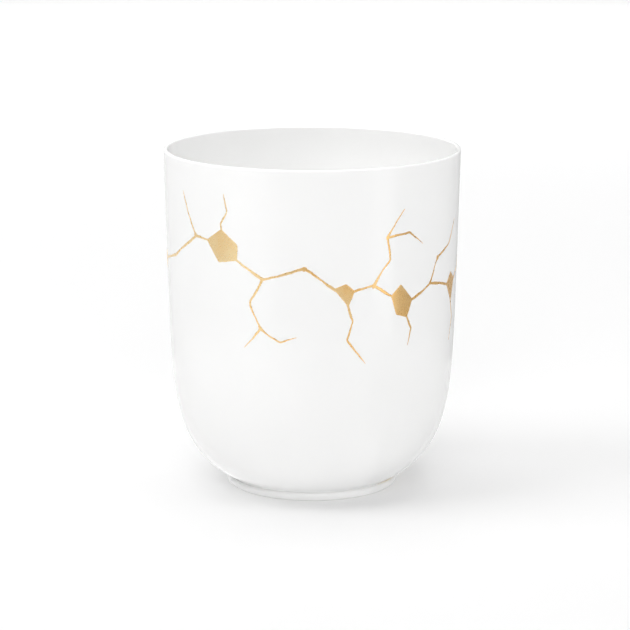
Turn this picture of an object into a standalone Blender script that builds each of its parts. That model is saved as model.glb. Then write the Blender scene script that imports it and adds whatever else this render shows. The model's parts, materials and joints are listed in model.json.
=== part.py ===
"""A handleless porcelain cup, turned about one axis.

A thin rounded lip, a wall that tapers slightly, a round bowl, and a low foot ring with a
shallow recess inside it. Metres, +Z up. The origin is on the cup's axis, in the plane that
the foot ring stands on.
"""

import bpy
import numpy as np

# Outside
RIM_DIAMETER = 0.0800
CUP_HEIGHT = 0.0923
WALL_TAPER = 0.025  # radius lost for each metre down the wall

# The bowl's curve: the wall line times (1 - share ** DEPTH_POWER) ** (1 / RADIUS_POWER)
DEPTH_POWER = 8.4  # higher keeps the wall straight further down
RADIUS_POWER = 2.05  # higher makes the bowl's underside flatter

# Wall, lip and floor
LIP_THICKNESS = 0.0011
WALL_THICKNESS = 0.0028
THICKENING_DEPTH = 0.035  # depth below the lip where the wall reaches its full thickness
FLOOR_THICKNESS = 0.0032
FLOOR_FILLET = 0.0040  # height over which the floor blends into the wall

# Foot ring
FOOT_DIAMETER = 0.0466
FOOT_HEIGHT = 0.0022
FOOT_ROUNDING = 0.00085  # how far the rounded outer side of the ring bulges
FOOT_SQUARENESS = 2.5  # 2 is an elliptical bulge, higher is squarer
FOOT_FILLET = 0.0014  # radius over which the foot blends into the bowl
FOOT_RING_WIDTH = 0.0028
FOOT_INNER_ROUNDING = 0.0006
RECESS_DEPTH = 0.0019
RECESS_FILLET = 0.0008

# Facets
SIDES = 72
WALL_STEPS = 4
BOWL_STEPS = 15
FLOOR_STEPS = 21
LIP_STEPS = 6
CREASE_STEPS = 3
FOOT_STEPS = 8
EDGE_STEPS = 3
BOWL_START = 0.5  # share of the closing depth where the bowl's closer steps begin
NEAR_ZERO = 0.000000001  # keeps the bowl's slope finite where its curve reaches the axis
MERGE_DISTANCE = 0.000001

PORCELAIN_COLOUR = (0.90, 0.90, 0.89, 1.0)
PORCELAIN_ROUGHNESS = 0.08

RIM_RADIUS = RIM_DIAMETER / 2
FOOT_RADIUS = FOOT_DIAMETER / 2
FOOT_CREASE_RADIUS = FOOT_RADIUS - FOOT_ROUNDING
LIP_RADIUS = LIP_THICKNESS / 2


def clear_scene():
    """Removes every object that the scene starts with."""
    for thing in list(bpy.data.objects):
        bpy.data.objects.remove(thing, do_unlink=True)


def closing_depth():
    """Depth below the rim where the bowl's curve would reach the axis.

    It is chosen so that the curve passes through the crease where the foot begins.
    """
    crease_depth = CUP_HEIGHT - FOOT_HEIGHT
    wall_there = RIM_RADIUS - WALL_TAPER * crease_depth
    drawn_in = (FOOT_CREASE_RADIUS / wall_there) ** RADIUS_POWER
    return crease_depth / (1 - drawn_in) ** (1 / DEPTH_POWER)


def bowl_curve(depth):
    """Radius of the bowl's outer curve at a depth below the rim, and its change with depth."""
    closing = closing_depth()
    share = depth / closing
    wall_line = RIM_RADIUS - WALL_TAPER * depth
    left = np.maximum(1 - share**DEPTH_POWER, NEAR_ZERO)
    drawn = left ** (1 / RADIUS_POWER)
    bend = DEPTH_POWER / (RADIUS_POWER * closing) * share ** (DEPTH_POWER - 1) / left
    return wall_line * drawn, -drawn * (WALL_TAPER + wall_line * bend)


def bowl_depths(last_depth, bowl_steps):
    """Depths from the lip down to last_depth: long steps on the wall, even turns on the bowl."""
    closing = closing_depth()
    turn_start = np.arcsin(BOWL_START ** (DEPTH_POWER / 2))
    turn_end = np.arcsin((last_depth / closing) ** (DEPTH_POWER / 2))
    turns = np.linspace(turn_start, turn_end, bowl_steps + 1)
    wall = np.linspace(LIP_RADIUS, BOWL_START * closing, WALL_STEPS + 1)
    return np.concatenate([wall[:-1], closing * np.sin(turns) ** (2 / DEPTH_POWER)])


def soft_max(first, second, width):
    """The larger of two values, rounded off where they differ by less than width."""
    near = np.maximum(width - np.abs(first - second), 0) / width
    return np.maximum(first, second) + near**2 * width / 4


def arc(centre, radius, start_degrees, end_degrees, steps):
    """Points along a circular arc in the profile's plane, as columns of radius and height."""
    angles = np.radians(np.linspace(start_degrees, end_degrees, steps + 1))
    return np.stack([centre[0] + radius * np.cos(angles), centre[1] + radius * np.sin(angles)], 1)


def wall_thickness(depth):
    """Thickness at a depth below the rim, easing from the lip's to the wall's."""
    share = np.clip((depth - LIP_RADIUS) / THICKENING_DEPTH, 0, 1)
    eased = share**2 * (3 - 2 * share)
    return LIP_THICKNESS + (WALL_THICKNESS - LIP_THICKNESS) * eased


def inside_profile():
    """From the floor's centre out and up to the lip: the outer curve moved in by the wall."""
    floor_height = RECESS_DEPTH + FLOOR_THICKNESS
    depth = bowl_depths(closing_depth(), FLOOR_STEPS)
    radius, slope = bowl_curve(depth)
    across = wall_thickness(depth) / np.hypot(1, slope)
    inner_radius = radius - across
    inner_height = CUP_HEIGHT - depth - across * slope
    rising = inner_height > floor_height - FLOOR_FILLET
    heights = soft_max(inner_height, floor_height, FLOOR_FILLET)
    points = np.stack([inner_radius, heights], 1)[rising][::-1]
    return np.concatenate([[[0.0, floor_height]], points])


def lip_profile():
    """The rounded lip, from the inside over the top to the outside."""
    lip_centre = (bowl_curve(LIP_RADIUS)[0] - LIP_RADIUS, CUP_HEIGHT - LIP_RADIUS)
    return arc(lip_centre, LIP_RADIUS, 180, 0, LIP_STEPS)[1:-1]


def outside_profile():
    """Down the wall and the bowl, into the crease, and round the foot ring's outer side."""
    fillet_top = FOOT_HEIGHT + FOOT_FILLET / 2
    bowl_heights = CUP_HEIGHT - bowl_depths(CUP_HEIGHT - fillet_top, BOWL_STEPS)
    crease_heights = np.linspace(fillet_top, FOOT_HEIGHT, CREASE_STEPS + 1)[1:-1]
    foot_turns = np.linspace(0, np.pi, FOOT_STEPS + 1)
    foot_heights = FOOT_HEIGHT / 2 * (1 + np.cos(foot_turns))
    heights = np.concatenate([bowl_heights, crease_heights, foot_heights])
    bowl = bowl_curve(CUP_HEIGHT - heights)[0]
    level = np.clip(np.abs(2 * heights / FOOT_HEIGHT - 1), 0, 1)
    bulge = (1 - level**FOOT_SQUARENESS) ** (1 / FOOT_SQUARENESS)
    foot = FOOT_CREASE_RADIUS + FOOT_ROUNDING * bulge
    return np.stack([soft_max(bowl, foot, FOOT_FILLET), heights], 1)


def underside_profile():
    """From the flat contact ring up into the recess, and in to the axis."""
    ring_inner_radius = FOOT_RADIUS - FOOT_RING_WIDTH
    edge_centre = (ring_inner_radius + FOOT_INNER_ROUNDING, FOOT_INNER_ROUNDING)
    fillet_centre = (ring_inner_radius - RECESS_FILLET, RECESS_DEPTH - RECESS_FILLET)
    inner_edge = arc(edge_centre, FOOT_INNER_ROUNDING, 270, 180, EDGE_STEPS)
    recess_fillet = arc(fillet_centre, RECESS_FILLET, 0, 90, EDGE_STEPS)
    return np.concatenate([inner_edge, recess_fillet, [[0.0, RECESS_DEPTH]]])


def porcelain():
    """White glazed porcelain."""
    material = bpy.data.materials.new("porcelain")
    material.use_nodes = True
    shader = material.node_tree.nodes["Principled BSDF"]
    shader.inputs["Base Color"].default_value = PORCELAIN_COLOUR
    shader.inputs["Roughness"].default_value = PORCELAIN_ROUGHNESS
    shader.inputs["Metallic"].default_value = 0.0
    return material


def turned(name, profile, material, collection):
    """Turns a profile of radii and heights once round the Z axis, as one closed solid."""
    mesh = bpy.data.meshes.new(name)
    corners = [(radius, 0.0, height) for radius, height in profile]
    edges = [(index, index + 1) for index in range(len(corners) - 1)]
    mesh.from_pydata(corners, edges, [])
    mesh.materials.append(material)
    piece = bpy.data.objects.new(name, mesh)
    collection.objects.link(piece)
    screw = piece.modifiers.new("turn", "SCREW")
    screw.axis = "Z"
    screw.angle = 2 * np.pi
    screw.steps = SIDES
    screw.render_steps = SIDES
    screw.use_merge_vertices = True
    screw.merge_threshold = MERGE_DISTANCE
    screw.use_smooth_shade = True
    return piece


def make_cup():
    """The whole cup is one turned piece."""
    collection = bpy.data.collections.new("porcelain cup")
    bpy.context.scene.collection.children.link(collection)
    profile = np.concatenate([inside_profile(), lip_profile(), outside_profile(), underside_profile()])
    return turned("cup", profile, porcelain(), collection)


clear_scene()
make_cup()
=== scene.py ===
"""Looks of a handleless porcelain cup with mended-crack seams in gold, in a plain white studio.

Metres, +Z up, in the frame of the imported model: the origin is on the cup's axis, in the plane
that its foot ring stands on. The camera looks along +Y.
"""

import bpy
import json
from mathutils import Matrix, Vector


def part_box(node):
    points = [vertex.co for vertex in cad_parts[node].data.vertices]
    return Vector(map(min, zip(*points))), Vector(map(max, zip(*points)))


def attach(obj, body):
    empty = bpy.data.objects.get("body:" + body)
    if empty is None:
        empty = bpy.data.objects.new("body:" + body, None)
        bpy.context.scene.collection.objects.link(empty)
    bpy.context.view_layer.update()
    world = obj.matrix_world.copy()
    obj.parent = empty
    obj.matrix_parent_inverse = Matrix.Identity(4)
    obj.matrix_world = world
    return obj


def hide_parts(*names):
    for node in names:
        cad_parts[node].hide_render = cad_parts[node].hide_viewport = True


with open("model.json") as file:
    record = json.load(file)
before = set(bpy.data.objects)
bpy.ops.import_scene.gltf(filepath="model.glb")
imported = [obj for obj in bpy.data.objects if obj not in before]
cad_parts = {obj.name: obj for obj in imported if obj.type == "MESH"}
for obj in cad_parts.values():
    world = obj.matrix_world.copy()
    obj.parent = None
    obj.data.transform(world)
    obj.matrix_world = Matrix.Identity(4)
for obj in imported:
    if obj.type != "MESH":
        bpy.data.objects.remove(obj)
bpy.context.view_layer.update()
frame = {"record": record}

import json

import bpy
import numpy as np
from mathutils import Vector

BODY = "root"
SOLID = frame["record"]["subparts"][0]["node"]
TOP_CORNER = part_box(SOLID)[1]
MILLIMETRE = 0.001
FULL_TURN = 360  # degrees

# The cup's outline, with the sizes of its solid
WALL_TAPER = 0.025  # radius lost for each metre down the wall
LIP_THICKNESS = 0.0011
LIP_RADIUS = LIP_THICKNESS / 2
CUP_HEIGHT = TOP_CORNER.z
RIM_RADIUS = TOP_CORNER.x + WALL_TAPER * LIP_RADIUS  # the lip is widest its own radius down
DEPTH_POWER = 8.4  # higher keeps the wall straight further down
RADIUS_POWER = 2.05  # higher makes the bowl's underside flatter
WALL_THICKNESS = 0.0028
THICKENING_DEPTH = 0.035  # depth below the lip where the wall reaches its full thickness
FLOOR_THICKNESS = 0.0032
FLOOR_FILLET = 0.0040  # height over which the floor blends into the wall
FOOT_RADIUS = 0.0233
FOOT_HEIGHT = 0.0022
FOOT_ROUNDING = 0.00085  # how far the rounded outer side of the ring bulges
FOOT_SQUARENESS = 2.5  # 2 is an elliptical bulge, higher is squarer
FOOT_FILLET = 0.0014  # radius over which the foot blends into the bowl
FOOT_RING_WIDTH = 0.0028
FOOT_INNER_ROUNDING = 0.0006
RECESS_DEPTH = 0.0019
RECESS_FILLET = 0.0008
FOOT_CREASE_RADIUS = FOOT_RADIUS - FOOT_ROUNDING
UNGLAZED_HEIGHT = 0.00012  # the foot ring is bare clay up to here
NEAR_ZERO = 1e-9  # keeps the bowl's slope finite where its curve reaches the axis

# Fineness of the cup's mesh
SIDES = 360
WALL_STEPS = 24
BOWL_STEPS = 48
FLOOR_STEPS = 60
LIP_STEPS = 16
CREASE_STEPS = 10
FOOT_STEPS = 24
EDGE_STEPS = 8
BOWL_START = 0.5  # share of the closing depth where the bowl's closer steps begin

# The gold seams, as corners on the wall: degrees to the right of the line that faces the
# camera, and millimetres above the table
MAIN_SEAM = (
    (-172, 66), (-150, 71), (-128, 64), (-104, 69), (-84, 62.5), (-66, 66), (-50, 73), (-36, 71),
    (-19, 63.5), (-3, 66.5), (12, 60), (24, 61.5), (38, 55.5), (52, 60), (70, 57), (88, 63),
    (108, 58), (130, 61.5), (151, 56), (166, 58),
)
BRANCH_SEAMS = (
    ((-50, 73), (-55, 78.5), (-58, 84)),
    ((-36, 73), (-37, 77), (-33, 80.5), (-35, 85)),
    ((-19, 63.5), (-24, 57), (-20, 50.5), (-27, 45)),
    ((-20, 50.5), (-12, 47), (-6, 48.5)),
    ((12, 59), (16, 52.5), (13.5, 47.5), (21, 41)),
    ((24, 61.5), (31, 68), (29, 74), (37, 81)),
    ((29, 74), (40, 75), (47, 71)),
    ((38, 54), (42, 49), (40, 44.5)),
    ((52, 60), (57, 66), (67, 69), (73, 75)),
    ((70, 55), (74, 48), (71, 42)),
    ((108, 58), (113, 65), (110, 71), (120, 78)),
    ((-104, 69), (-110, 62), (-106, 55), (-114, 49)),
    ((-128, 65), (-124, 72), (-129, 78)),
    ((130, 60), (126, 52), (131, 46)),
    ((151, 56), (158, 50), (154, 44)),
)

# Missing shards filled with gold, each inside its own corners, and small chips along the seams
SHARDS = (
    ((-44, 72.2), (-37, 75.8), (-29, 72), (-29.5, 67.5), (-38, 66.8)),
    ((31.5, 58.5), (36, 61.2), (41.8, 57), (39.2, 51.8), (34, 53.2)),
    ((8.2, 61.6), (13, 62.6), (16.5, 60.5), (12.8, 56.2)),
    ((65.5, 58), (70, 61), (75, 58.5), (71.5, 52.5)),
    ((-133.5, 65.5), (-127, 68.5), (-121, 65.2), (-123.5, 60.5), (-130.5, 60)),
    ((125.5, 60.8), (130, 64.8), (135, 60.3), (130.5, 56.8)),
    ((-88, 63.6), (-83.5, 65.4), (-80, 63.4), (-84.5, 59.8)),
)
CHIPS = (
    (-50, 73), (-19, 63.5), (-20, 50.5), (-3, 66.5), (24, 61.5), (29, 74), (52, 60), (57, 66),
    (88, 63), (108, 58), (113, 65), (151, 56), (-66, 66), (-104, 69), (-110, 62), (-150, 71),
)
CHIP_SIZES = (0.5, 1.1)  # least and greatest reach of a chip's corner, in millimetres
CHIP_CORNERS = (3, 4)  # fewest and most
CHIP_UNEVENNESS = 15  # degrees that a chip's corner may stray either way

# The gold film
SEAM_LEVEL_RADIUS = RIM_RADIUS - MILLIMETRE  # of the tapering wall, where the seams run
DEGREE_LENGTH = np.radians(1) * SEAM_LEVEL_RADIUS  # length of a degree round the wall
FILM_RISE = 0.000030  # height of a seam's back over the glaze
SHARD_RISE = 0.000034
FILM_SINK = 0.000025  # depth of the film's underside in the glaze
MAIN_HALF_WIDTH = 0.00034
BRANCH_HALF_WIDTH = 0.00027
SEAM_SIDES = 12
SEAM_STEP = 0.00025

# A shard's section: shares of the way from its middle to its outline, with the height of its
# top as a share of the rise, and then the shares along its underside
SHARD_TOP = (
    (0.2, 1), (0.4, 1), (0.6, 1), (0.8, 1), (0.9, 0.97), (0.96, 0.88), (0.99, 0.68), (1.0, 0),
)
SHARD_UNDERSIDE = (0.99, 0.9, 0.6, 0.3)

# The hand that laid the film
CORNER_EASING = 0.0009  # reach over which a seam's corners are rounded
SHARD_EASING = 0.00055
SNAP_REACH = 0.0016  # a corner this near to a seam is moved onto it
SWAY = 0.00040
SWAY_LENGTH = 0.026
SWAY_WAVES = 2
TREMBLE = 0.00006
TREMBLE_LENGTH = 0.0035
SHARD_TREMBLE_LENGTH = 0.003
TREMBLE_WAVES = 3
SWELL = 0.30  # share of the width that comes and goes
SWELL_LENGTH = 0.012
SWELL_WAVES = 3
FLARE = 0.8  # share of the width that is added where a branch leaves
FLARE_LENGTH = 0.0009
TIP_LENGTH = 0.0035
LAST_TIP_LENGTH = 2 * TIP_LENGTH
TIP_WIDTH = 0.25  # share of the half width that is left at a tip
TIP_POWER = 0.6  # lower keeps a tip fuller until close to its end
WAVE_SHORTENING = 1.7  # each sine of a wave is this much shorter than the one before
WAVE_WEAKENING = 1.5  # and this much weaker

# Random seeds
MAIN_SEED = 1
FIRST_BRANCH_SEED = 20
FIRST_CHIP_SEED = 80
FIRST_SHARD_SEED = 200
SWELL_SEED_SHIFT = 50
TREMBLE_SEED_SHIFT = 500


def closing_depth():
    """Depth below the rim where the bowl's curve would reach the axis.

    It is chosen so that the curve passes through the crease where the foot begins.
    """
    crease_depth = CUP_HEIGHT - FOOT_HEIGHT
    wall_there = RIM_RADIUS - WALL_TAPER * crease_depth
    drawn_in = (FOOT_CREASE_RADIUS / wall_there) ** RADIUS_POWER
    return crease_depth / (1 - drawn_in) ** (1 / DEPTH_POWER)


CLOSING_DEPTH = closing_depth()


def bowl_curve(depth):
    """Outer radius at a depth below the rim, and its change with depth.

    The radius is the tapering wall's times (1 - share ** depth power) ** (1 / radius power),
    where the share is the depth over the depth where the curve reaches the axis.
    """
    share = depth / CLOSING_DEPTH
    wall_line = RIM_RADIUS - WALL_TAPER * depth
    left = np.maximum(1 - share**DEPTH_POWER, NEAR_ZERO)
    drawn = left ** (1 / RADIUS_POWER)
    bend = DEPTH_POWER / (RADIUS_POWER * CLOSING_DEPTH) * share ** (DEPTH_POWER - 1) / left
    return wall_line * drawn, -drawn * (WALL_TAPER + wall_line * bend)


def bowl_depths(last_depth, bowl_steps):
    """Depths from the lip down: even steps on the wall, then even turns round the bowl."""
    turn_start = np.arcsin(BOWL_START ** (DEPTH_POWER / 2))
    turn_end = np.arcsin((last_depth / CLOSING_DEPTH) ** (DEPTH_POWER / 2))
    turns = np.linspace(turn_start, turn_end, bowl_steps + 1)
    wall = np.linspace(LIP_RADIUS, BOWL_START * CLOSING_DEPTH, WALL_STEPS + 1)
    return np.concatenate([wall[:-1], CLOSING_DEPTH * np.sin(turns) ** (2 / DEPTH_POWER)])


def soft_max(first, second, width):
    """The larger of two values, rounded off where they differ by less than width."""
    near = np.maximum(width - np.abs(first - second), 0) / width
    return np.maximum(first, second) + near**2 * width / 4


def arc(centre, radius, start_degrees, end_degrees, steps):
    """Points along a circular arc, as columns of radius and height."""
    angles = np.radians(np.linspace(start_degrees, end_degrees, steps + 1))
    return np.stack([centre[0] + radius * np.cos(angles), centre[1] + radius * np.sin(angles)], 1)


def wall_thickness(depth):
    """Thickness of the wall at a depth, easing by 3 s^2 - 2 s^3 from the lip's to the full one."""
    share = np.clip((depth - LIP_RADIUS) / THICKENING_DEPTH, 0, 1)
    return LIP_THICKNESS + (WALL_THICKNESS - LIP_THICKNESS) * share**2 * (3 - 2 * share)


def inside_profile():
    """From the floor up to the lip: the outer curve moved in along its normal by the wall."""
    floor_height = RECESS_DEPTH + FLOOR_THICKNESS
    depth = bowl_depths(CLOSING_DEPTH, FLOOR_STEPS)
    radius, slope = bowl_curve(depth)
    across = wall_thickness(depth) / np.hypot(1, slope)
    height = CUP_HEIGHT - depth - across * slope
    rising = height > floor_height - FLOOR_FILLET
    rounded = soft_max(height, floor_height, FLOOR_FILLET)
    return np.stack([radius - across, rounded], 1)[rising][::-1]


def lip_profile():
    """Half a circle over the lip, from the inside to the outside."""
    centre = (bowl_curve(LIP_RADIUS)[0] - LIP_RADIUS, CUP_HEIGHT - LIP_RADIUS)
    return arc(centre, LIP_RADIUS, 180, 0, LIP_STEPS)[1:-1]


def outside_profile():
    """Down the wall and bowl into the crease, and round the foot ring's bulging side."""
    fillet_top = FOOT_HEIGHT + FOOT_FILLET / 2
    bowl_heights = CUP_HEIGHT - bowl_depths(CUP_HEIGHT - fillet_top, BOWL_STEPS)
    crease_heights = np.linspace(fillet_top, FOOT_HEIGHT, CREASE_STEPS + 1)[1:-1]
    foot_turns = np.linspace(0, np.pi, FOOT_STEPS + 1)
    foot_heights = FOOT_HEIGHT / 2 * (1 + np.cos(foot_turns))
    heights = np.concatenate([bowl_heights, crease_heights, foot_heights])
    bowl = bowl_curve(CUP_HEIGHT - heights)[0]
    level = np.clip(np.abs(2 * heights / FOOT_HEIGHT - 1), 0, 1)
    bulge = (1 - level**FOOT_SQUARENESS) ** (1 / FOOT_SQUARENESS)
    foot = FOOT_CREASE_RADIUS + FOOT_ROUNDING * bulge
    return np.stack([soft_max(bowl, foot, FOOT_FILLET), heights], 1)


def underside_profile():
    """From the contact ring's inner edge up into the recess."""
    ring_inner_radius = FOOT_RADIUS - FOOT_RING_WIDTH
    edge_centre = (ring_inner_radius + FOOT_INNER_ROUNDING, FOOT_INNER_ROUNDING)
    fillet_centre = (ring_inner_radius - RECESS_FILLET, RECESS_DEPTH - RECESS_FILLET)
    inner_edge = arc(edge_centre, FOOT_INNER_ROUNDING, 270, 180, EDGE_STEPS)
    return np.concatenate([inner_edge, arc(fillet_centre, RECESS_FILLET, 0, 90, EDGE_STEPS)])


def closed_skin(rings, first_pole, last_pole):
    """Points and faces of a closed skin: a stack of rings of points with a pole at each end.

    Ring i and ring i + 1 are joined by a band of quads that wraps round, and each end ring is
    joined to its pole by a fan. The faces are turned round if they enclose a negative volume.
    """
    rows, columns = rings.shape[:2]
    points = np.concatenate([rings.reshape(-1, 3), [first_pole], [last_pole]])
    row = np.arange(rows - 1)[:, None] * columns
    column = np.arange(columns)[None, :]
    following = (column + 1) % columns
    band = [row + column, row + columns + column, row + columns + following, row + following]
    quads = np.stack([np.broadcast_to(corner, (rows - 1, columns)) for corner in band], -1)
    quads = quads.reshape(-1, len(band))
    last_row = (rows - 1) * columns
    first_centre = np.full(columns, rows * columns)
    first_fan = np.stack([first_centre, column[0], following[0]], -1)
    last_fan = np.stack([first_centre + 1, last_row + following[0], last_row + column[0]], -1)
    halves = np.concatenate([quads[:, [0, 1, 2]], quads[:, [0, 2, 3]], first_fan, last_fan])
    first, second, third = (points[halves[:, corner]] for corner in range(3))
    if np.einsum("ij,ij->", first, np.cross(second, third)) < 0:
        quads, first_fan, last_fan = quads[:, ::-1], first_fan[:, ::-1], last_fan[:, ::-1]
    return points, [quads, first_fan, last_fan]


def make_piece(name, skins, materials):
    """One smooth mesh object out of closed skins, riding on the cup's body."""
    points = np.concatenate([skin_points for skin_points, skin_faces in skins])
    faces = []
    start = 0
    for skin_points, skin_faces in skins:
        for group in skin_faces:
            faces.extend((group + start).tolist())
        start += len(skin_points)
    mesh = bpy.data.meshes.new(name)
    mesh.from_pydata(points.tolist(), [], faces)
    for material in materials:
        mesh.materials.append(material)
    mesh.shade_smooth()
    piece = bpy.data.objects.new(name, mesh)
    bpy.context.scene.collection.objects.link(piece)
    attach(piece, BODY)
    return piece


def make_cup(materials):
    """The turned cup: each profile point (r, z) becomes the ring (r cos a, r sin a, z)."""
    profiles = [inside_profile(), lip_profile(), outside_profile(), underside_profile()]
    profile = np.concatenate(profiles)
    angles = np.linspace(0, 2 * np.pi, SIDES, endpoint=False)
    radius, height = profile[:, :1], profile[:, 1:]
    rings = np.stack([radius * np.cos(angles), radius * np.sin(angles), height + 0 * angles], -1)
    poles = (0, 0, RECESS_DEPTH + FLOOR_THICKNESS), (0, 0, RECESS_DEPTH)
    cup = make_piece("porcelain_cup", [closed_skin(rings, *poles)], materials)
    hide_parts(SOLID)
    paint_foot_ring(cup.data)


def paint_foot_ring(mesh):
    """Gives the faces that stand on the table the second, unglazed material."""
    centres = np.zeros(len(mesh.polygons) * 3, np.float32)
    mesh.polygons.foreach_get("center", centres)
    heights = centres[2::3]
    mesh.polygons.foreach_set("material_index", (heights < UNGLAZED_HEIGHT).astype(np.int32))


def on_wall(spots, lift):
    """Points of the unrolled wall put on the outer curve, lifted off it along its normal."""
    height = spots[..., 1]
    turn = np.radians(spots[..., 0] / DEGREE_LENGTH)
    radius, slope = bowl_curve(CUP_HEIGHT - height)
    steep = np.hypot(1, slope)
    out = radius + lift / steep
    return np.stack([out * np.sin(turn), -out * np.cos(turn), height + lift * slope / steep], -1)


def unrolled(corners):
    """Corners in degrees and millimetres as metres on the unrolled wall."""
    return np.array(corners, float) * (DEGREE_LENGTH, MILLIMETRE)


def snapped(spot, seams):
    """The nearest point of the seams if it is within reach, or else the spot itself."""
    points = np.concatenate(seams)
    gaps = np.hypot(*(points - spot).T)
    return points[np.argmin(gaps)] if gaps.min() < SNAP_REACH else spot


def wave(distance, longest, count, seed):
    """A smooth random wave along a distance, mostly between -1 and 1.

    It is half the sum of a few sines at random phases, each shorter and weaker than the last.
    """
    order = np.arange(count)
    phases = np.random.default_rng(seed).uniform(0, 2 * np.pi, count)
    lengths = longest / WAVE_SHORTENING**order
    waves = np.sin(2 * np.pi * distance[:, None] / lengths + phases) / WAVE_WEAKENING**order
    return waves.sum(1) / 2


def eased(line, easing):
    """A line of even steps averaged over a bell of neighbours, given that many more each end."""
    reach = int(easing / SEAM_STEP)
    bell = np.hanning(2 * reach + 3)[1:-1]
    return np.stack([np.convolve(row, bell / bell.sum(), "valid") for row in line.T], 1)


def even_steps(corners):
    """Distances of even steps along straight runs between corners, and the steps' points."""
    along_corners = np.concatenate([[0], np.cumsum(np.hypot(*np.diff(corners, axis=0).T))])
    length = along_corners[-1]
    distance = np.linspace(0, length, int(length / SEAM_STEP) + 2)
    points = [np.interp(distance, along_corners, column) for column in corners.T]
    return distance, np.stack(points, 1)


def sideways(line):
    """Unit directions across a line."""
    tangent = np.gradient(line, axis=0)
    return np.stack([-tangent[:, 1], tangent[:, 0]], 1) / np.hypot(*tangent.T)[:, None]


def seam_line(corners, seed):
    """A seam's middle line on the unrolled wall: eased corners, a slow sway and a tremble."""
    distance, line = even_steps(corners)
    reach = int(CORNER_EASING / SEAM_STEP)
    before = 2 * line[0] - line[reach:0:-1]
    after = 2 * line[-1] - line[-2:-2 - reach:-1]
    line = eased(np.concatenate([before, line, after]), CORNER_EASING)
    from_ends = np.clip(np.minimum(distance, distance[-1] - distance) / TIP_LENGTH, 0, 1)
    sway = SWAY * wave(distance, SWAY_LENGTH, SWAY_WAVES, seed)
    tremble = TREMBLE * wave(distance, TREMBLE_LENGTH, TREMBLE_WAVES, seed + TREMBLE_SEED_SHIFT)
    return distance, line + sideways(line) * (from_ends * (sway + tremble))[:, None]


def seam_widths(distance, half_width, seed, branch):
    """Half widths along a seam: a slow swell, a flare where a branch leaves, and thin tips."""
    swell = 1 + SWELL * wave(distance, SWELL_LENGTH, SWELL_WAVES, seed + SWELL_SEED_SHIFT)
    flare = 1 + FLARE * np.exp(-distance / FLARE_LENGTH) if branch else 1
    start = 1 if branch else np.clip(distance / TIP_LENGTH, 0, 1) ** TIP_POWER
    end = np.clip((distance[-1] - distance) / LAST_TIP_LENGTH, 0, 1) ** TIP_POWER
    return half_width * swell * flare * (TIP_WIDTH + (1 - TIP_WIDTH) * start * end)


def gold_seam(distance, line, half_width):
    """A flat lens-shaped section carried along a seam's line, closed by a pole at each end."""
    turns = np.linspace(0, 2 * np.pi, SEAM_SIDES, endpoint=False)
    across = half_width[:, None] * np.cos(turns)
    spots = line[:, None] + sideways(line)[:, None] * across[..., None]
    lift = np.where(np.sin(turns) > 0, FILM_RISE, FILM_SINK) * np.sin(turns)
    poles = [on_wall(line[end], 0) for end in (0, -1)]
    return closed_skin(on_wall(spots, lift), *poles)


def gold_shard(corners, seed):
    """A filled shard: rings that shrink from a closed, eased outline to its middle, two-sided."""
    distance, line = even_steps(np.concatenate([corners, corners[:1]]))
    distance, line = distance[:-1], line[:-1]
    reach = int(SHARD_EASING / SEAM_STEP)
    outline = eased(np.concatenate([line[-reach:], line, line[:reach]]), SHARD_EASING)
    middle = outline.mean(0)
    fade = np.sin(np.pi * distance / distance[-1]) ** 2
    tremble = TREMBLE * fade * wave(distance, SHARD_TREMBLE_LENGTH, TREMBLE_WAVES, seed)
    outline = outline + sideways(outline) * tremble[:, None]
    top_shares, top_lifts = np.transpose(SHARD_TOP)
    shares = np.concatenate([top_shares, SHARD_UNDERSIDE])
    lifts = np.concatenate([top_lifts * SHARD_RISE, np.full(len(SHARD_UNDERSIDE), -FILM_SINK)])
    spots = middle + shares[:, None, None] * (outline - middle)
    poles = [on_wall(middle, lift) for lift in (SHARD_RISE, -FILM_SINK)]
    return closed_skin(on_wall(spots, lifts[:, None]), *poles)


def chip_corners(spot, seed):
    """A few corners at random distances round a spot, in turn."""
    fewest, most = CHIP_CORNERS
    random = np.random.default_rng(seed)
    count = random.integers(fewest, most + 1)
    turns = random.uniform(0, FULL_TURN) + np.arange(count) * FULL_TURN / count
    turns = np.radians(turns + random.uniform(-CHIP_UNEVENNESS, CHIP_UNEVENNESS, count))
    reach = random.uniform(*CHIP_SIZES, count) * MILLIMETRE
    return spot + np.stack([reach * np.cos(turns), reach * np.sin(turns)], 1)


def make_gold(material):
    """The seams, the filled shards and the chips."""
    distance, line = seam_line(unrolled(MAIN_SEAM), MAIN_SEED)
    lines = [line]
    widths = seam_widths(distance, MAIN_HALF_WIDTH, MAIN_SEED, False)
    skins = [gold_seam(distance, line, widths)]
    for seed, corners in enumerate(BRANCH_SEAMS, FIRST_BRANCH_SEED):
        corners = unrolled(corners)
        corners[0] = snapped(corners[0], lines)
        distance, line = seam_line(corners, seed)
        lines.append(line)
        widths = seam_widths(distance, BRANCH_HALF_WIDTH, seed, True)
        skins.append(gold_seam(distance, line, widths))
    make_piece("gold_seams", skins, [material])
    shards = [np.array([snapped(corner, lines) for corner in unrolled(shard)]) for shard in SHARDS]
    for seed, spot in enumerate(unrolled(CHIPS), FIRST_CHIP_SEED):
        shards.append(chip_corners(snapped(spot, lines), seed))
    skins = [gold_shard(shard, seed) for seed, shard in enumerate(shards, FIRST_SHARD_SEED)]
    make_piece("gold_fills", skins, [material])


def new_material(name, settings):
    """A material whose shader sockets have these plain values."""
    material = bpy.data.materials.new(name)
    material.use_nodes = True
    shader = material.node_tree.nodes["Principled BSDF"]
    for socket, value in settings.items():
        shader.inputs[socket].default_value = value
    return material, material.node_tree, shader


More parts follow.
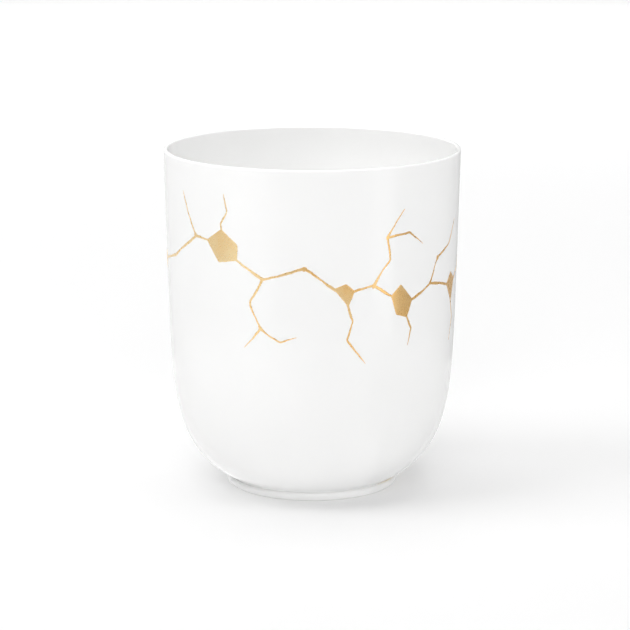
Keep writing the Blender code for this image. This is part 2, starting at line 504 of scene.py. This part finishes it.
def noise(tree, scale, detail, roughness=0.5):
    """A noise pattern on the piece's own coordinates, scale in waves per metre."""
    place = tree.nodes.new("ShaderNodeTexCoord")
    pattern = tree.nodes.new("ShaderNodeTexNoise")
    pattern.inputs["Scale"].default_value = scale
    pattern.inputs["Detail"].default_value = detail
    pattern.inputs["Roughness"].default_value = roughness
    tree.links.new(place.outputs["Object"], pattern.inputs["Vector"])
    return pattern.outputs["Fac"]


def mapped(tree, value, sources, targets=(0, 1), interpolation="LINEAR"):
    """Maps a value's range, first to last source, to the range from first to last target."""
    mapping = tree.nodes.new("ShaderNodeMapRange")
    mapping.interpolation_type = interpolation
    for socket, end in zip(("From Min", "From Max", "To Min", "To Max"), (*sources, *targets)):
        mapping.inputs[socket].default_value = end
    tree.links.new(value, mapping.inputs["Value"])
    return mapping.outputs["Result"]


NOISE_MIDDLE = (0.3, 0.7)  # where most of a noise pattern's values lie


def ranged(tree, pattern, low, high):
    """Maps a noise pattern's middle range to a range of values."""
    return mapped(tree, pattern, NOISE_MIDDLE, (low, high))


def along(tree, axis, start, end):
    """How far a point lies from start to end along one of the piece's own axes, 0 to 1."""
    place = tree.nodes.new("ShaderNodeTexCoord")
    parts = tree.nodes.new("ShaderNodeSeparateXYZ")
    tree.links.new(place.outputs["Object"], parts.inputs["Vector"])
    return mapped(tree, parts.outputs[axis], (start, end))


def combined(tree, operation, first, second):
    """Two patterns combined by an arithmetic operation, kept between 0 and 1."""
    sums = tree.nodes.new("ShaderNodeMath")
    sums.operation = operation
    sums.use_clamp = True
    tree.links.new(first, sums.inputs[0])
    tree.links.new(second, sums.inputs[1])
    return sums.outputs["Value"]


def tinted(tree, value, first, second):
    """A colour that runs from first to second with a pattern; first may be a pattern's colour."""
    mix = tree.nodes.new("ShaderNodeMix")
    mix.data_type = "RGBA"
    if isinstance(first, tuple):
        mix.inputs["A"].default_value = (*first, 1)
    else:
        tree.links.new(first, mix.inputs["A"])
    mix.inputs["B"].default_value = (*second, 1)
    tree.links.new(value, mix.inputs["Factor"])
    return mix.outputs["Result"]


def bumped(tree, shader, value, height):
    """Small relief from a pattern, height in metres."""
    bump = tree.nodes.new("ShaderNodeBump")
    bump.inputs["Strength"].default_value = 1.0
    bump.inputs["Distance"].default_value = height
    tree.links.new(value, bump.inputs["Height"])
    tree.links.new(bump.outputs["Normal"], shader.inputs["Normal"])


GLAZE_IOR = 1.5
CLEAR_GLAZE = (0.965, 0.965, 0.960)
CLOUDY_GLAZE = (0.950, 0.950, 0.945)
GLAZE_ROUGHNESS = (0.08, 0.13)
GLAZE_WAVE_HEIGHT = 0.000006

# A faint warm line in the crease over the foot, on the right: along each axis, where it fades in
WARM_LINE_COLOUR = (0.89, 0.79, 0.62)
WARM_LINE_FADES = (
    ("Z", 0.0029, 0.0025),
    ("Z", 0.0019, 0.0023),
    ("X", 0.0170, 0.0205),
    ("Y", 0.0060, 0.0020),
)


def warm_line_pattern(tree):
    """How strong the faint warm line in the crease is at a point: the product of its fades."""
    strength, *fades = [along(tree, *fade) for fade in WARM_LINE_FADES]
    for fade in fades:
        strength = combined(tree, "MULTIPLY", strength, fade)
    return strength


def glaze():
    """Clear glaze over white porcelain: glossy, with faint waves and a breath of cloudiness."""
    material, tree, shader = new_material("glazed_porcelain", {"IOR": GLAZE_IOR})
    cloud = ranged(tree, noise(tree, scale=35, detail=2), 0, 1)
    colour = tinted(tree, cloud, CLEAR_GLAZE, CLOUDY_GLAZE)
    # a faint warm line in the crease over the foot, on the right
    colour = tinted(tree, warm_line_pattern(tree), colour, WARM_LINE_COLOUR)
    roughness = ranged(tree, noise(tree, scale=140, detail=3), *GLAZE_ROUGHNESS)
    tree.links.new(colour, shader.inputs["Base Color"])
    tree.links.new(roughness, shader.inputs["Roughness"])
    bumped(tree, shader, noise(tree, scale=110, detail=1), GLAZE_WAVE_HEIGHT)
    return material


CLAY_SHEEN = 0.3
LIGHT_CLAY = (0.86, 0.85, 0.82)
DARK_CLAY = (0.78, 0.77, 0.73)
CLAY_ROUGHNESS = (0.55, 0.75)
CLAY_GRAIN_HEIGHT = 0.00003


def bare_clay():
    """The unglazed, ground ring under the foot: matt, warm white and finely grained."""
    material, tree, shader = new_material("unglazed_porcelain", {"Specular IOR Level": CLAY_SHEEN})
    colour = tinted(tree, noise(tree, scale=2500, detail=4), LIGHT_CLAY, DARK_CLAY)
    roughness = ranged(tree, noise(tree, scale=1500, detail=3), *CLAY_ROUGHNESS)
    tree.links.new(colour, shader.inputs["Base Color"])
    tree.links.new(roughness, shader.inputs["Roughness"])
    bumped(tree, shader, noise(tree, scale=4000, detail=3), CLAY_GRAIN_HEIGHT)
    return material


DEEP_GOLD = (0.885, 0.555, 0.22)
PALE_GOLD_AND_SHEEN = (0.915, 0.71, 0.40)
PAINTED_SHEEN_SPAN = (0.034, -0.042)  # painted sheen: from here to there along X the gold is painted paler, lighter towards the left where the light falls
GOLD_PATCHES = (-0.30, 0.30)
GOLD_GRAIN = (-0.12, 0.12)
GOLD_ROUGHNESS = (0.24, 0.32)
GOLD_GRAIN_HEIGHT = 0.000004


def gold():
    """Burnished gold: satin metal, fine-grained, in paler patches, and with a painted sheen that
    makes it paler towards the left, where the light falls.
    """
    material, tree, shader = new_material("satin_gold", {"Metallic": 1.0})
    patches = ranged(tree, noise(tree, scale=110, detail=2), *GOLD_PATCHES)
    grain = ranged(tree, noise(tree, scale=500, detail=4, roughness=0.6), *GOLD_GRAIN)
    # painted sheen: the gold is made paler towards the left, where the light falls, besides its
    # random paler patches and grain
    paleness_and_sheen = combined(tree, "ADD", along(tree, "X", *PAINTED_SHEEN_SPAN), patches)
    paleness_and_sheen = combined(tree, "ADD", paleness_and_sheen, grain)
    polish = noise(tree, scale=900, detail=4, roughness=0.6)
    tree.links.new(tinted(tree, paleness_and_sheen, DEEP_GOLD, PALE_GOLD_AND_SHEEN), shader.inputs["Base Color"])
    tree.links.new(ranged(tree, polish, *GOLD_ROUGHNESS), shader.inputs["Roughness"])
    bumped(tree, shader, noise(tree, scale=1800, detail=3), GOLD_GRAIN_HEIGHT)
    return material


# The table is a lit white sheet: its own glow, beside the light that falls on it
TABLE_SIZE = 12
TABLE_COLOUR = (0.65, 0.65, 0.65, 1)
GLOW_DISTANCES = (0.25, 2.0)  # from the cup, between which the glow rises
GLOWS = (0.215, 0.615)

# Softboxes, which all face the cup's middle: name, place, width and height, strength in watts
CUP_MIDDLE = (0, 0, 0.05)
SOFTBOXES = (
    ("overhead", (0, 0, 1.3), (1.05, 1.05), 10.1),
    ("key_left", (-0.8, -0.2, 1.0), (0.7, 0.7), 6.2),
    ("front", (0, -1.2, 0.65), (0.9, 0.6), 7.7),
    ("right", (1.1, -0.1, 0.36), (0.7, 0.7), 2.8),
    ("back_right", (0.8, 0.8, 0.5), (0.7, 0.7), 2.4),
    ("back", (0, 1.3, 0.6), (1.0, 0.7), 5.4),
    ("back_left", (-0.8, 0.8, 0.5), (0.7, 0.7), 2.8),
)

# Cards round the cup that only its gloss shows: from and to in degrees to the right of the
# camera's side, brightness of the upright card, and brightness of the one on the table
CARD_DISTANCE = 0.20
CARD_HEIGHT = 0.25
CARD_LIFT = 0.0001  # height of the flat cards over the table
CARDS = (
    (-180, -100, 0.88, 1.02),
    (-100, -60, 0.80, 1.15),
    (-60, -30, 0.95, 1.15),
    (-30, 0, 0.55, 1.15),
    (0, 42, 0.70, 1.02),
    (42, 60, 1.40, 0.70),
    (60, 95, 0.50, 0.74),
    (95, 180, 0.56, 0.82),
)


def glowing(name, colour, strength=0):
    """A matt material that also gives off white light, with its node tree and shader."""
    settings = {"Base Color": colour, "Specular IOR Level": 0, "Roughness": 1}
    light = {"Emission Color": (1, 1, 1, 1), "Emission Strength": strength}
    return new_material(name, {**settings, **light})


def make_table():
    """A plain white table that reaches far behind the cup and glows more further out."""
    bpy.ops.mesh.primitive_plane_add(size=TABLE_SIZE)
    table = bpy.context.object
    table.name = "studio_table"
    material, tree, shader = glowing("lit_table", TABLE_COLOUR)
    place = tree.nodes.new("ShaderNodeTexCoord")
    distance = tree.nodes.new("ShaderNodeVectorMath")
    distance.operation = "LENGTH"
    tree.links.new(place.outputs["Object"], distance.inputs[0])
    glow = mapped(tree, distance.outputs["Value"], GLOW_DISTANCES, GLOWS, "SMOOTHSTEP")
    tree.links.new(glow, shader.inputs["Emission Strength"])
    table.data.materials.append(material)


def make_card(name, corners, brightness):
    """One glowing card, which the camera and the matt light don't see."""
    mesh = bpy.data.meshes.new(name)
    mesh.from_pydata(corners, [], [range(len(corners))])
    mesh.materials.append(glowing(name, (0, 0, 0, 1), brightness)[0])
    card = bpy.data.objects.new(name, mesh)
    card.visible_camera = card.visible_diffuse = card.visible_shadow = False
    bpy.context.scene.collection.objects.link(card)


def make_cards():
    """A ring of upright cards, each with a flat one at its foot that reaches in to the cup."""
    for number, (start, end, upright, flat) in enumerate(CARDS, 1):
        turns = np.radians([start, end])
        spots = (CARD_DISTANCE * np.stack([np.sin(turns), -np.cos(turns)], 1)).tolist()
        low = [(x, y, CARD_LIFT) for x, y in spots]
        high = [(x, y, CARD_HEIGHT) for x, y in reversed(spots)]
        make_card("card_%d" % number, low + high, upright)
        make_card("card_%d_flat" % number, low + [(0, 0, CARD_LIFT)], flat)


def make_softbox(name, place, size, strength):
    """One rectangular soft light, turned to the cup's middle and unseen by the camera."""
    light = bpy.data.lights.new(name, "AREA")
    light.shape = "RECTANGLE"
    light.size, light.size_y = size
    light.energy = strength
    box = bpy.data.objects.new(name, light)
    box.location = place
    towards_cup = Vector(CUP_MIDDLE) - Vector(place)
    box.rotation_euler = towards_cup.to_track_quat("-Z", "Y").to_euler()
    box.visible_camera = False
    bpy.context.scene.collection.objects.link(box)


def make_lights():
    """Soft boxes all round, strongest from above and weaker on the right, in a dark room."""
    world = bpy.data.worlds.new("dark_studio")
    world.use_nodes = True
    world.node_tree.nodes["Background"].inputs["Strength"].default_value = 0.0
    bpy.context.scene.world = world
    for softbox in SOFTBOXES:
        make_softbox(*softbox)


CAMERA_DISTANCE = 0.7
CAMERA_TILT = np.radians(12.39)
CAMERA_AIM = (0.000769, 0, 0.046012)
CAMERA_LENS = 146.585  # millimetres
CAMERA_SENSOR = 36  # its width, in millimetres


def make_camera():
    """The camera looks down at the cup along +Y."""
    camera = bpy.data.objects.new("camera", bpy.data.cameras.new("camera"))
    camera.data.lens = CAMERA_LENS
    camera.data.sensor_width = CAMERA_SENSOR
    back = CAMERA_DISTANCE * np.cos(CAMERA_TILT)
    up = CAMERA_DISTANCE * np.sin(CAMERA_TILT)
    camera.location = Vector(CAMERA_AIM) + Vector((0, -back, up))
    camera.rotation_euler = (np.pi / 2 - CAMERA_TILT, 0, 0)
    bpy.context.scene.collection.objects.link(camera)
    bpy.context.scene.camera = camera


make_cup([glaze(), bare_clay()])
make_gold(gold())
make_table()
make_cards()
make_lights()
make_camera()
bpy.context.scene.view_settings.view_transform = "Standard"
